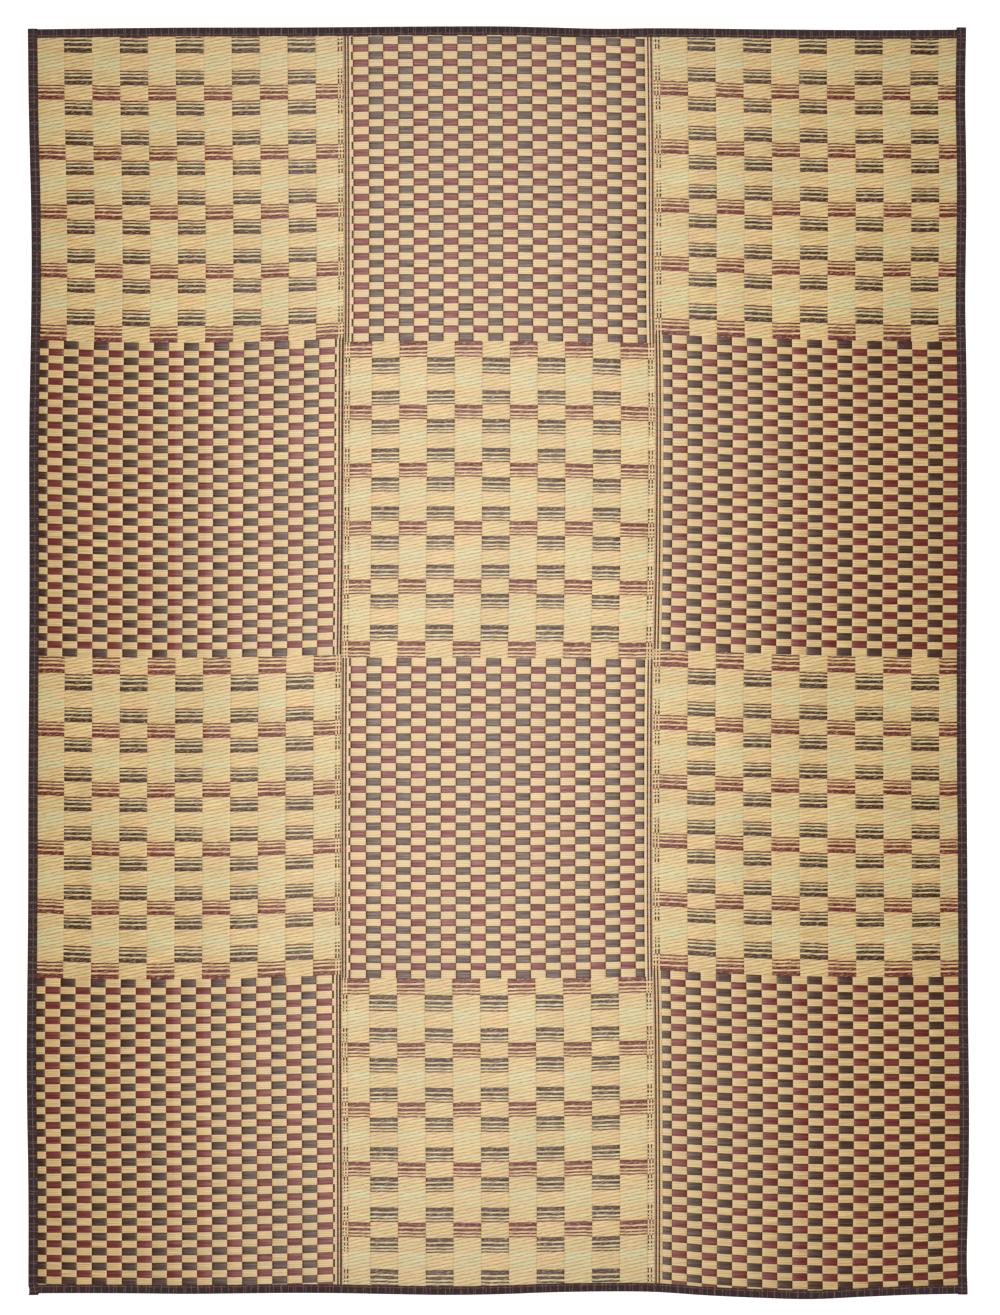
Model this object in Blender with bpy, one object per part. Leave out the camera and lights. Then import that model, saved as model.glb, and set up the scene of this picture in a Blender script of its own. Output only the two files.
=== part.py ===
# Rush rug: three woven widths side by side, edged all round with folded cloth tape.
# Metres, +Z up. X runs across the rug, Y along it, and the floor is at z = 0.

from math import cos, pi, sin

import bmesh
import bpy

MM = 0.001

# The straight rectangle that the uneven outline follows
RUG_WIDTH = 2.610
RUG_LENGTH = 3.520

# Woven rush in the open field, and where the sewing presses it flat under the tape
RUSH_THICKNESS = 3.5 * MM
PRESSED_TOP = 3.1 * MM
PRESS_RAMP = 4.0 * MM

# Cloth tape folded round the edge
TAPE_THICKNESS = 0.8 * MM
SIDE_TAPE_WIDTH = 26.5 * MM
END_TAPE_WIDTH = 22.5 * MM
OUTER_FOLD_STEPS = 6
INNER_FOLD_STEPS = 4

# Clearance between neighbouring pieces
GAP = 0.3 * MM
LIFT = TAPE_THICKNESS + GAP
TAPE_TOP = PRESSED_TOP + GAP + TAPE_THICKNESS

# The rush's cut edge sits in the fold of the tape, with its corners pressed in
EDGE_INSET = 1.3 * MM
EDGE_HALF_HEIGHT = 0.35 * MM
SHOULDER_INSET = 2.1 * MM
TAPE_END_INSET = 2.75 * MM

# How far each side tape's end wall stands past the end tape that it covers
SIDE_TAPE_OVERHANG = {
    "left": {"head": 0.3 * MM, "foot": 3.2 * MM},
    "right": {"head": 4.6 * MM, "foot": 0.6 * MM},
}

# Cross lines of the meshes: rows along Y, and columns inside each width
ROW_COUNT = 25
ROW_REACH = 1.690
COLUMNS_PER_WIDTH = 5

# Each edge's run outside (+) or inside (-) the straight rectangle.
# Rows are (metres along the edge from its middle, millimetres outwards).
EDGE_TABLES = {
    "left": [
        (-1.75, 0.5),
        (-1.47, 0.5),
        (-1.14, 5.0),
        (-0.69, 1.4),
        (-0.36, 0.5),
        (0.20, -2.5),
        (0.64, -2.0),
        (0.98, -7.5),
        (1.20, -8.0),
        (1.54, -0.5),
        (1.75, 2.0),
    ],
    "right": [
        (-1.75, 2.0),
        (-1.66, 0.0),
        (-1.47, 4.4),
        (-1.25, 6.4),
        (-1.03, 4.0),
        (-0.58, 1.5),
        (-0.14, -1.4),
        (0.31, 0.3),
        (0.76, 0.0),
        (0.98, -4.0),
        (1.31, -1.0),
        (1.59, -4.5),
        (1.75, -2.0),
    ],
    "head": [
        (-1.31, -3.0),
        (-1.06, 0.3),
        (-0.89, 2.0),
        (-0.56, 2.5),
        (-0.22, 5.0),
        (0.03, 5.3),
        (0.20, 1.0),
        (0.36, -2.0),
        (0.45, 0.5),
        (0.70, -2.2),
        (1.03, -4.7),
        (1.31, -3.6),
    ],
    "foot": [
        (-1.31, -1.5),
        (-1.06, -1.7),
        (-0.89, 0.3),
        (-0.51, -2.4),
        (-0.22, 2.2),
        (-0.06, 3.0),
        (0.11, -3.0),
        (0.28, -6.4),
        (0.45, -4.7),
        (0.61, 6.0),
        (0.86, 14.8),
        (0.95, 11.7),
        (1.11, 3.9),
        (1.31, -0.5),
    ],
}

# Where neighbouring widths meet. Rows are (metres along Y, millimetres along X from the seam's
# mean place).
SEAM_PLACES = {"left": -0.431, "right": 0.434}
SEAM_TABLES = {
    "left": [
        (-1.76, -2.0),
        (-1.45, -2.5),
        (-1.00, -4.8),
        (-0.11, -4.3),
        (0.31, 0.0),
        (0.76, 2.0),
        (0.99, 4.0),
        (1.40, 3.8),
        (1.76, 1.8),
    ],
    "right": [
        (-1.76, 2.1),
        (-1.45, 2.7),
        (-1.00, 0.4),
        (-0.76, -4.0),
        (-0.11, -3.4),
        (0.31, 3.2),
        (0.76, 4.9),
        (0.99, 1.2),
        (1.40, 0.4),
        (1.76, -4.3),
    ],
}

# Colour, roughness of each finish
FINISHES = {
    "woven_rush": ((0.60, 0.44, 0.24, 1.0), 0.55),
    "binding_cloth": ((0.045, 0.026, 0.028, 1.0), 0.85),
}


def clear_scene():
    for item in list(bpy.data.objects):
        bpy.data.objects.remove(item, do_unlink=True)


def spread(first, last, count):
    """Evenly spaced values from first to last."""
    return [first + (last - first) * step / (count - 1) for step in range(count)]


def smooth_value(table, place):
    """Value of a table at a place, on a cubic that passes through every row."""
    if place <= table[0][0]:
        return table[0][1]
    if place >= table[-1][0]:
        return table[-1][1]
    index = next(n for n in range(1, len(table)) if place <= table[n][0])
    (x0, v0), (x1, v1) = table[index - 1], table[index]
    before = table[max(index - 2, 0)]
    after = table[min(index + 1, len(table) - 1)]
    slope0 = (v1 - before[1]) / (x1 - before[0])
    slope1 = (after[1] - v0) / (after[0] - x0)
    span = x1 - x0
    t = (place - x0) / span
    return (
        v0 * (1 + 2 * t) * (1 - t) ** 2
        + slope0 * span * t * (1 - t) ** 2
        + v1 * t * t * (3 - 2 * t)
        + slope1 * span * t * t * (t - 1)
    )


def side_edge(side, y):
    """X of the rug's left or right outline at y."""
    outwards = smooth_value(EDGE_TABLES[side], y) * MM
    return -RUG_WIDTH / 2 - outwards if side == "left" else RUG_WIDTH / 2 + outwards


def end_edge(end, x):
    """Y of the rug's head or foot outline at x."""
    outwards = smooth_value(EDGE_TABLES[end], x) * MM
    return RUG_LENGTH / 2 + outwards if end == "head" else -RUG_LENGTH / 2 - outwards


def seam_line(seam, y):
    """X of the line where two widths meet, at y."""
    return SEAM_PLACES[seam] + smooth_value(SEAM_TABLES[seam], y) * MM


def press(inset, tape_width):
    """1 under the tape, falling to 0 over the ramp beside it."""
    start = tape_width + 0.5 * MM
    return min(1.0, max(0.0, 1.0 - (inset - start) / PRESS_RAMP))


def press_lines(tape_width):
    """Insets of the mesh lines that follow a taped edge."""
    start = tape_width + 0.5 * MM
    return [EDGE_INSET, SHOULDER_INSET, start, start + PRESS_RAMP]


def width_columns(left, right):
    """Mesh columns of one width, each a function that gives x at y.

    left and right name a taped side of the rug, or the seam on that side of the width.
    """
    columns = []
    if left["taped"]:
        for inset in press_lines(SIDE_TAPE_WIDTH):
            columns.append(lambda y, inset=inset: side_edge("left", y) + inset)
        start = -RUG_WIDTH / 2
    else:
        columns.append(lambda y: seam_line(left["name"], y) + GAP / 2)
        start = SEAM_PLACES[left["name"]]
    end = RUG_WIDTH / 2 if right["taped"] else SEAM_PLACES[right["name"]]
    for x in spread(start, end, COLUMNS_PER_WIDTH + 2)[1:-1]:
        columns.append(lambda y, x=x: x)
    if right["taped"]:
        for inset in reversed(press_lines(SIDE_TAPE_WIDTH)):
            columns.append(lambda y, inset=inset: side_edge("right", y) - inset)
    else:
        columns.append(lambda y: seam_line(right["name"], y) - GAP / 2)
    return columns


def length_rows():
    """Mesh rows of a width from foot to head, each a function that gives y at x."""
    insets = press_lines(END_TAPE_WIDTH)
    rows = [lambda x, inset=inset: end_edge("foot", x) + inset for inset in insets]
    rows += [lambda x, y=y: y for y in spread(-ROW_REACH, ROW_REACH, ROW_COUNT)]
    rows += [lambda x, inset=inset: end_edge("head", x) - inset for inset in reversed(insets)]
    return rows


def end_stations():
    """X places of the end tapes' cross-sections between the corners."""
    edges = [-RUG_WIDTH / 2, SEAM_PLACES["left"], SEAM_PLACES["right"], RUG_WIDTH / 2]
    places = []
    for first, last in zip(edges, edges[1:]):
        places += spread(first, last, COLUMNS_PER_WIDTH + 2)[1:]
    return places[:-1]


def crossing(column, row, guess_y):
    """The point where a column and a row of the mesh meet."""
    y = guess_y
    for _ in range(3):
        x = column(y)
        y = row(x)
    return x, y


def rush_heights(x, y):
    """Underside and top of the rush at a point, pressed flat under the tapes."""
    side_inset = min(x - side_edge("left", y), side_edge("right", y) - x)
    end_inset = min(y - end_edge("foot", x), end_edge("head", x) - y)
    side_press = press(side_inset, SIDE_TAPE_WIDTH)
    end_press = press(end_inset, END_TAPE_WIDTH)
    low = LIFT * (side_press + end_press)
    high = RUSH_THICKNESS - (RUSH_THICKNESS - PRESSED_TOP) * max(side_press, end_press)
    if min(side_inset, end_inset) < (EDGE_INSET + SHOULDER_INSET) / 2:
        middle = (low + high) / 2
        low = middle - EDGE_HALF_HEIGHT
        high = middle + EDGE_HALF_HEIGHT
    return low, high


def make_material(name):
    colour, roughness = FINISHES[name]
    material = bpy.data.materials.new(name)
    material.use_nodes = True
    shader = material.node_tree.nodes["Principled BSDF"]
    shader.inputs["Base Color"].default_value = colour
    shader.inputs["Roughness"].default_value = roughness
    shader.inputs["Metallic"].default_value = 0.0
    return material


def finish_object(name, mesh_tool, material):
    """Turn a bmesh into a named object with its faces pointing out."""
    bmesh.ops.recalc_face_normals(mesh_tool, faces=mesh_tool.faces[:])
    mesh = bpy.data.meshes.new(name)
    mesh_tool.to_mesh(mesh)
    mesh_tool.free()
    mesh.materials.append(material)
    result = bpy.data.objects.new(name, mesh)
    bpy.context.scene.collection.objects.link(result)
    return result


def make_width(name, left, right, material):
    """One woven width: a thin slab whose edges follow the outline and the seams."""
    columns = width_columns(left, right)
    rows = length_rows()
    guesses = [-RUG_LENGTH / 2] * len(press_lines(END_TAPE_WIDTH))
    guesses += spread(-ROW_REACH, ROW_REACH, ROW_COUNT)
    guesses += [RUG_LENGTH / 2] * len(press_lines(END_TAPE_WIDTH))
    slab = bmesh.new()
    under = []
    over = []
    for row, guess in zip(rows, guesses):
        points = [crossing(column, row, guess) for column in columns]
        heights = [rush_heights(x, y) for x, y in points]
        under.append([slab.verts.new((x, y, low)) for (x, y), (low, _) in zip(points, heights)])
        over.append([slab.verts.new((x, y, high)) for (x, y), (_, high) in zip(points, heights)])
    last_row = len(rows) - 1
    last_column = len(columns) - 1
    for j in range(last_row):
        for i in range(last_column):
            slab.faces.new((over[j][i], over[j][i + 1], over[j + 1][i + 1], over[j + 1][i]))
            slab.faces.new((under[j][i], under[j + 1][i], under[j + 1][i + 1], under[j][i + 1]))
    for i in range(last_column):
        for j in (0, last_row):
            slab.faces.new((under[j][i], under[j][i + 1], over[j][i + 1], over[j][i]))
    for j in range(last_row):
        for i in (0, last_column):
            slab.faces.new((under[j][i], under[j + 1][i], over[j + 1][i], over[j][i]))
    merge_open_field(slab)
    return finish_object(name, slab, material)


def merge_open_field(slab):
    """Make the flat top and the flat underside one face each."""
    slab.faces.ensure_lookup_table()
    for height in (0.0, RUSH_THICKNESS):
        level = [
            face
            for face in slab.faces
            if all(abs(vertex.co.z - height) < 0.01 * MM for vertex in face.verts)
        ]
        bmesh.ops.dissolve_faces(slab, faces=level, use_verts=False)


def tape_section(tape_width, low, high):
    """Cross-section of the folded tape as two lists of (inset from the outline, z).

    The outer skin runs from the lower leg's end round the fold to the upper leg's end, and the
    inner skin runs the same way one tape thickness inside it.
    """
    radius = (high - low) / 2
    middle = (high + low) / 2
    skins = []
    for inside, steps in ((0.0, OUTER_FOLD_STEPS), (TAPE_THICKNESS, INNER_FOLD_STEPS)):
        skin = [(tape_width, low + inside)]
        for angle in spread(-pi / 2, pi / 2, steps + 1):
            inset = radius - (radius - inside) * cos(angle)
            skin.append((inset, middle + (radius - inside) * sin(angle)))
        skin.append((tape_width, high - inside))
        skins.append(skin)
    return skins


def make_tape(name, stations, place, closed_ends, material):
    """A folded tape carried along an edge.

    stations are (distance along the edge, tape width, lowest z, highest z), and place turns
    (distance, inset, z) into a point. closed_ends adds a wall one tape thickness deep at each end.
    """
    tape = bmesh.new()
    outer = []
    inner = []
    for along, tape_width, low, high in stations:
        skins = tape_section(tape_width, low, high)
        outer.append([tape.verts.new(place(along, inset, z)) for inset, z in skins[0]])
        inner.append([tape.verts.new(place(along, inset, z)) for inset, z in skins[1]])
    for skin in (outer, inner):
        for one, other in zip(skin, skin[1:]):
            for k in range(len(one) - 1):
                tape.faces.new((one[k], one[k + 1], other[k + 1], other[k]))
    for j in range(len(stations) - 1):
        for k in (0, -1):
            tape.faces.new((outer[j][k], outer[j + 1][k], inner[j + 1][k], inner[j][k]))
    for j, step in ((0, -1), (len(stations) - 1, 1)):
        if not closed_ends:
            tape.faces.new(outer[j] + inner[j][::-1])
            continue
        along, tape_width, low, high = stations[j]
        skin = tape_section(tape_width, low, high)[0]
        wall_place = along + step * TAPE_THICKNESS
        wall = [tape.verts.new(place(wall_place, inset, z)) for inset, z in skin]
        for k in range(len(wall) - 1):
            tape.faces.new((outer[j][k], outer[j][k + 1], wall[k + 1], wall[k]))
        tape.faces.new(wall)
        tape.faces.new(inner[j])
        opening = [outer[j][0], inner[j][0], inner[j][-1], outer[j][-1], wall[-1], wall[0]]
        tape.faces.new(opening)
    return finish_object(name, tape, material)


def make_side_tape(side, material):
    """The tape along a whole side, raised at both ends over the end tapes that it covers."""
    direction = 1 if side == "left" else -1
    corner_x = -direction * RUG_WIDTH / 2
    foot = end_edge("foot", corner_x)
    head = end_edge("head", corner_x)
    overhang = SIDE_TAPE_OVERHANG[side]
    _, _, press_start, press_end = press_lines(END_TAPE_WIDTH)
    places = [foot - GAP - overhang["foot"], foot + press_start, foot + press_end]
    places += spread(-ROW_REACH, ROW_REACH, ROW_COUNT)
    places += [head - press_end, head - press_start, head + GAP + overhang["head"]]
    stations = []
    for y in places:
        raised = LIFT * press(min(y - foot, head - y), END_TAPE_WIDTH)
        stations.append((y, SIDE_TAPE_WIDTH, 0.0, TAPE_TOP + raised))
    return make_tape(
        "binding_" + side,
        stations,
        lambda y, inset, z: (side_edge(side, y) + direction * inset, y, z),
        True,
        material,
    )


def make_end_tape(end, material):
    """The tape across the head or the foot, lifted at both ends onto the side tapes."""
    direction = 1 if end == "foot" else -1
    corner_y = -direction * RUG_LENGTH / 2
    left = side_edge("left", corner_y)
    right = side_edge("right", corner_y)
    _, _, press_start, press_end = press_lines(SIDE_TAPE_WIDTH)
    insets = [TAPE_END_INSET, press_start, press_end]
    places = [left + inset for inset in insets]
    places += end_stations()
    places += [right - inset for inset in reversed(insets)]
    stations = []
    for x in places:
        raised = LIFT * press(min(x - left, right - x), SIDE_TAPE_WIDTH)
        stations.append((x, END_TAPE_WIDTH, raised, TAPE_TOP))
    return make_tape(
        "binding_" + end,
        stations,
        lambda x, inset, z: (x, end_edge(end, x) + direction * inset, z),
        False,
        material,
    )


def centre_on_floor(pieces):
    """Put the middle of the whole rug's box over the origin."""
    points = [vertex.co for piece in pieces for vertex in piece.data.vertices]
    middle_x = (min(p.x for p in points) + max(p.x for p in points)) / 2
    middle_y = (min(p.y for p in points) + max(p.y for p in points)) / 2
    for piece in pieces:
        piece.location = (-middle_x, -middle_y, 0.0)


def make_rug():
    rush = make_material("woven_rush")
    cloth = make_material("binding_cloth")
    left_side = {"name": "left", "taped": True}
    right_side = {"name": "right", "taped": True}
    left_seam = {"name": "left", "taped": False}
    right_seam = {"name": "right", "taped": False}
    pieces = [
        make_width("width_left", left_side, left_seam, rush),
        make_width("width_middle", left_seam, right_seam, rush),
        make_width("width_right", right_seam, right_side, rush),
    ]
    pieces += [make_side_tape(side, cloth) for side in ("left", "right")]
    pieces += [make_end_tape(end, cloth) for end in ("head", "foot")]
    centre_on_floor(pieces)


clear_scene()
make_rug()
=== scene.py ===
import functools

import bpy
import numpy as np
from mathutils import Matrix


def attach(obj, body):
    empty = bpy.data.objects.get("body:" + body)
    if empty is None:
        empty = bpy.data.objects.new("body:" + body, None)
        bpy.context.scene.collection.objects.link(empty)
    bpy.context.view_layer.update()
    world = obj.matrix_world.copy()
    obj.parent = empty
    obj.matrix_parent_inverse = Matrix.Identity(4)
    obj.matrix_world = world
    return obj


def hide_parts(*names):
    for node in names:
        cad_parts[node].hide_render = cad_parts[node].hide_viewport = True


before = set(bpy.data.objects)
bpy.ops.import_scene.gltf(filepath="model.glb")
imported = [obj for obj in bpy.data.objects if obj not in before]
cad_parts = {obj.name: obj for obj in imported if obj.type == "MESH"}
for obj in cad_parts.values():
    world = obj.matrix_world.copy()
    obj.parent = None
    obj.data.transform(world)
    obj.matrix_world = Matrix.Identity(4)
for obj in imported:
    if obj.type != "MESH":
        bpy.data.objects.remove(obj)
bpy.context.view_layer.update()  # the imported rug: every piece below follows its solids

print("rush rug: frame loaded")

mm = 0.001

# Heights and places that the solids have, so that a finer piece lies where its solid does
fit = {
    "fieldTop": 3.5 * mm,  # open rush
    "pressedTop": 3.1 * mm,  # rush under the tape
    "pressStart": 0.5 * mm,  # from the tape's inner edge to where the rush begins to rise
    "pressRamp": 4.0 * mm,
    "lift": 1.1 * mm,  # rush held off the floor by the tape below it
    "tapeThickness": 0.8 * mm,
    "tapeTop": 4.2 * mm,
    "sideTape": 27.0 * mm,
    "endTape": 24.8 * mm,
    "cutEdgeInset": 1.3 * mm,  # from the tape's fold to the cut rush inside it
    "seamGap": 0.3 * mm,  # between two widths
    "sameSection": 0.5 * mm,  # corners of a solid this near along its edge are one section
    "seamBand": 20 * mm,  # the middle width has no corners but its edges' this near its sides
}


# Outline of the rug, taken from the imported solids

def nodeCorners(nodeName):
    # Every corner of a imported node, as rows of x, y, z
    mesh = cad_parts[nodeName].data
    flat = np.empty(len(mesh.vertices) * 3, np.float32)
    mesh.vertices.foreach_get("co", flat)
    return flat.reshape(-1, 3).astype(float)


def outermostLine(points, along, side):
    # Corners that share a place along the edge are one cross-section, and the line goes
    # through the corner of each that lies furthest out
    points = points[np.argsort(points[:, along])]
    section = np.cumsum(np.diff(points[:, along]) > fit["sameSection"])
    section = np.concatenate([[0], section])
    places = np.full(section[-1] + 1, -np.inf)
    furthest = np.full(section[-1] + 1, -np.inf)
    np.maximum.at(places, section, points[:, along])
    np.maximum.at(furthest, section, points[:, 1 - along] * side)
    return places, furthest * side


def seamCorners(side):
    # The middle width's corners that lie along one of its sides
    points = nodeCorners("width_middle")
    furthest = (points[:, 0] * side).max()
    return points[points[:, 0] * side > furthest - fit["seamBand"]]


def smoothLine(line, at):
    # A cubic through every row of the line, its slope there taken from the rows beside it
    places, values = line
    slopes = np.gradient(values, places)
    k = np.clip(np.searchsorted(places, at) - 1, 0, len(places) - 2)
    span = places[k + 1] - places[k]
    t = np.clip((at - places[k]) / span, 0, 1)
    start = values[k] * (1 + 2 * t) + slopes[k] * span * t
    end = values[k + 1] * (3 - 2 * t) + slopes[k + 1] * span * (t - 1)
    return start * (1 - t) ** 2 + end * t ** 2


edges = {
    "left": outermostLine(nodeCorners("binding_left"), 1, -1),
    "right": outermostLine(nodeCorners("binding_right"), 1, 1),
    "head": outermostLine(nodeCorners("binding_head"), 0, 1),
    "foot": outermostLine(nodeCorners("binding_foot"), 0, -1),
    "seamLeft": outermostLine(seamCorners(-1), 1, -1),
    "seamRight": outermostLine(seamCorners(1), 1, 1),
}


# The weave, in the cloth's own measures

# Warp columns as (start, end, shows red rush, shows dark rush), in mm from the outer edge of
# the first whole check. The narrow ones at both ends are the selvedges.
weave = {
    "stripeColumns": np.array(
        [(-44.8, -40.8, 1, 0), (-40.8, -36.6, 0, 1), (-36.6, -32.4, 1, 0), (-32.4, -28.1, 0, 1)]
        + [(-28.1, 49.2, 1, 0)]
        + [(49.2 + 77.33 * k, 126.53 + 77.33 * k, k % 2, 1 - k % 2) for k in range(9)]
        + [(745.2, 806.6, 1, 0), (806.6, 810.8, 0, 1), (810.8, 814.8, 1, 0)]
        + [(814.8, 818.9, 0, 1), (818.9, 821.9, 1, 0)]
    ),
    "checkColumns": np.array(
        [(-45.9, -40.9, 1, 1), (-37.0, -32.0, 1, 1), (-25.6, 0.0, 0, 1)]
        + [(41.9 * k, 41.9 * (k + 1), 1 - k % 2, k % 2) for k in range(18)]
        + [(754.2, 798.0, 1, 0), (798.0, 803.4, 0, 1), (808.8, 814.0, 1, 1)]
        + [(816.8, 821.6, 1, 1)]
    ),
    "wideColumn": 20,  # mm: a narrower one belongs to a selvedge
    "lineGap": 1.0,  # mm that a line of the pillow keeps from a column's edge
    "leastStrip": 0.55,  # mm between two lines across
    "zones": 21,  # stripe zones in a striped block
    "rows": 43,  # rows of checks in a checked block
    # Zones and the share of the block that they take: the three at each end are longer
    "zoneSpread": ((0, 3, 18, 21), (0, 0.1556, 0.8444, 1)),
    "rowHeights": (1.04, 0.96, 1.13),  # of a dark row, a red one, and the first and last one
    "zoneLines": np.array([0, 0.12, 0.45, 0.7, 0.94]),
    "rowLines": np.array([0, 0.22, 0.78]),
    "zoneRise": np.array([0.55, 0.95, 0.85, 1.0, 0.95]),
    "rowRise": np.array([0.3, 1.0, 1.0]),
    "pillowSteps": (0, 1.3, 5.0, 20),  # mm from a column's edge
    "stripeArch": (0.5, 0.8, 0.95, 1),  # share of the relief at those steps
    "checkArch": (0, 0.3, 0.62, 1),
    "relief": 0.55 * mm,
    "hollow": 0.3 * mm,  # the relief's lowest places below the solid's top
    "seamDip": 0.5 * mm,  # the widths' upper faces dip this much at a seam
    "seamLift": 0.3 * mm,  # and their lower ones rise this much
    "keptInset": 30 * mm,  # nearer to an end the lines follow the cut edge
    "endSteps": (1, 0.93, 0.78, 0.62, 0.46, 0.3, 0.15),
    "endRise": 0.7,
    "slopeLines": 12,  # lines inside that carry the pattern on to the cut edge
    "cutEdge": 1.6 * mm,  # the rush is crushed this near the fold
    "crushedHalf": 0.35 * mm,
}

# Where the weave lies. A width's u runs between its two edges, and its v runs from its first
# end. stations are x, each row of blockEnds is y of a block's end at those stations, and each
# row of bellies is how far the block's middle has crept in y there, all in mm.
clothWidths = {
    "left": {
        "edges": ("left", "seamLeft"), "taped": (True, False), "across": (-49.6, 822.5),
        "firstEnd": "head", "lastEnd": "foot", "stations": (-1231, -856, -475),
        "blockEnds": ((1794, 1790, 1794), (896, 890, 900), (18, 14, 22), (-877, -880, -869),
                      (-1771, -1776, -1766)),
        "bellies": ((-8, -5, -6), (1, -1, -4), (-2, -3, -4), (-4, 4, 1)),
    },
    "middle": {
        "edges": ("seamRight", "seamLeft"), "taped": (False, False), "across": (-47.3, 824.1),
        "firstEnd": "foot", "lastEnd": "head", "stations": (-386, -11, 364),
        "blockEnds": ((-1781, -1785, -1781), (-877, -878, -874), (14, 13, 10), (893, 895, 890),
                      (1785, 1786, 1779)),
        "bellies": ((3, 5, 8), (-3, -2, 0), (0, 1, 0), (-4, -3, -1)),
    },
    "right": {
        "edges": ("seamRight", "right"), "taped": (False, True), "across": (-47.8, 819.8),
        "firstEnd": "head", "lastEnd": "foot", "stations": (503, 881, 1256),
        "blockEnds": ((1796, 1784, 1784), (911, 898, 893), (35, 21, 14), (-858, -872, -873),
                      (-1765, -1790, -1780)),
        "bellies": ((0, 3, 2), (-1, 2, 2), (-2, 1, 0), (5, 12, 6)),
    },
}

blockStep = 100.0  # a weave number is this times the block's number, plus the zone or row in it


def columnLines(across):
    # Every column's two edges, and the steps of its pillow inside the wide ones, in mm
    tables = np.concatenate([weave["stripeColumns"], weave["checkColumns"]])
    starts, ends = tables[:, 0], tables[:, 1]
    wide = ends - starts > weave["wideColumn"]
    bounds = np.unique(np.concatenate([starts, ends]))
    steps = np.array(weave["pillowSteps"][1:-1])[:, None]
    extra = np.concatenate([(starts[wide] + steps).ravel(), (ends[wide] - steps).ravel()])
    gap = weave["lineGap"]
    extra = extra[np.abs(extra[:, None] - bounds[None, :]).min(1) > gap]
    lines = np.sort(np.concatenate([bounds, extra]))
    lines = lines[(lines > across[0] + gap) & (lines < across[1] - gap)]
    lines = lines[np.concatenate([[True], np.diff(lines) > weave["leastStrip"]])]
    return np.concatenate([[across[0]], lines, [across[1]]]), bounds


def insideColumn(table, at):
    # For each place across the cloth: shows red, shows dark
    inside = (at[:, None] >= table[None, :, 0]) & (at[:, None] < table[None, :, 1])
    return (inside[:, :, None] * table[None, :, 2:]).sum(1)


def edgeDistance(table, at):
    # mm from each place to the nearest edge of a wide column, less than 0 on the selvedges
    wide = table[table[:, 1] - table[:, 0] > weave["wideColumn"]]
    distance = np.abs(at[:, None] - np.unique(wide[:, :2])[None, :]).min(1)
    return np.where((at < wide[0, 0]) | (at > wide[-1, 1]), -distance, distance)


def blockShare(places, checked):
    # Share of a block's length that lies before a zone or a row
    zoneShare = np.interp(places, *weave["zoneSpread"])
    darkRow, redRow, outermostRow = weave["rowHeights"]
    rowHeights = np.where(np.arange(weave["rows"]) % 2 == 0, darkRow, redRow)
    rowHeights[[0, -1]] = outermostRow
    rowEnds = np.concatenate([[0], np.cumsum(rowHeights)]) / rowHeights.sum()
    rowShare = np.interp(places, np.arange(weave["rows"] + 1), rowEnds)
    return np.where(checked, rowShare, zoneShare)


def weaveRows():
    # All cross lines of a width as block number, place in zones or rows, rise of the relief
    zones = (np.arange(weave["zones"])[:, None] + weave["zoneLines"]).ravel()
    rows = (np.arange(weave["rows"])[:, None] + weave["rowLines"]).ravel()
    zoneRise = np.tile(weave["zoneRise"], weave["zones"])
    rowRise = np.tile(weave["rowRise"], weave["rows"])
    blocks = np.repeat([0, 1, 2, 3], [len(zones), len(rows), len(zones), len(rows)])
    places = np.concatenate([zones, rows, zones, rows])
    return blocks, places, np.concatenate([zoneRise, rowRise, zoneRise, rowRise])


def press(inset, tapeWidth):
    # 1 under a tape, falling to 0 over the ramp beside it
    return np.clip(1 - (inset - tapeWidth - fit["pressStart"]) / fit["pressRamp"], 0, 1)


def gridFaces(rows, columns, first=0):
    # Corner numbers of each square of a grid whose corners are numbered row by row
    corner = first + np.arange(rows * columns).reshape(rows, columns)
    return np.stack([corner[:-1, :-1], corner[1:, :-1], corner[1:, 1:], corner[:-1, 1:]], -1)


def addPiece(name, points, faces, material):
    # A smooth piece from rows of x, y, z and lists of corner numbers
    mesh = bpy.data.meshes.new(name)
    mesh.from_pydata(points.tolist(), [], faces)
    mesh.polygons.foreach_set("use_smooth", np.full(len(mesh.polygons), True))
    mesh.materials.append(material)
    piece = bpy.data.objects.new(name, mesh)
    bpy.context.scene.collection.objects.link(piece)
    return piece


def addUvMap(piece, name, cornerUv):
    # cornerUv has one row for each corner of each face
    layer = piece.data.uv_layers.new(name=name)
    layer.data.foreach_set("uv", cornerUv.astype(np.float32).ravel())


def cornerVertices(piece):
    # The vertex that each corner of each face uses
    found = np.empty(len(piece.data.loops), np.int32)
    piece.data.loops.foreach_get("vertex_index", found)
    return found


def parabolaParts(x, stations):
    # How much the value at each of three stations counts at x, on the parabola through them
    s0, s1, s2 = stations
    return np.stack([
        (x - s1) * (x - s2) / ((s0 - s1) * (s0 - s2)),
        (x - s0) * (x - s2) / ((s1 - s0) * (s1 - s2)),
        (x - s0) * (x - s1) / ((s2 - s0) * (s2 - s1)),
    ], -1)


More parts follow.
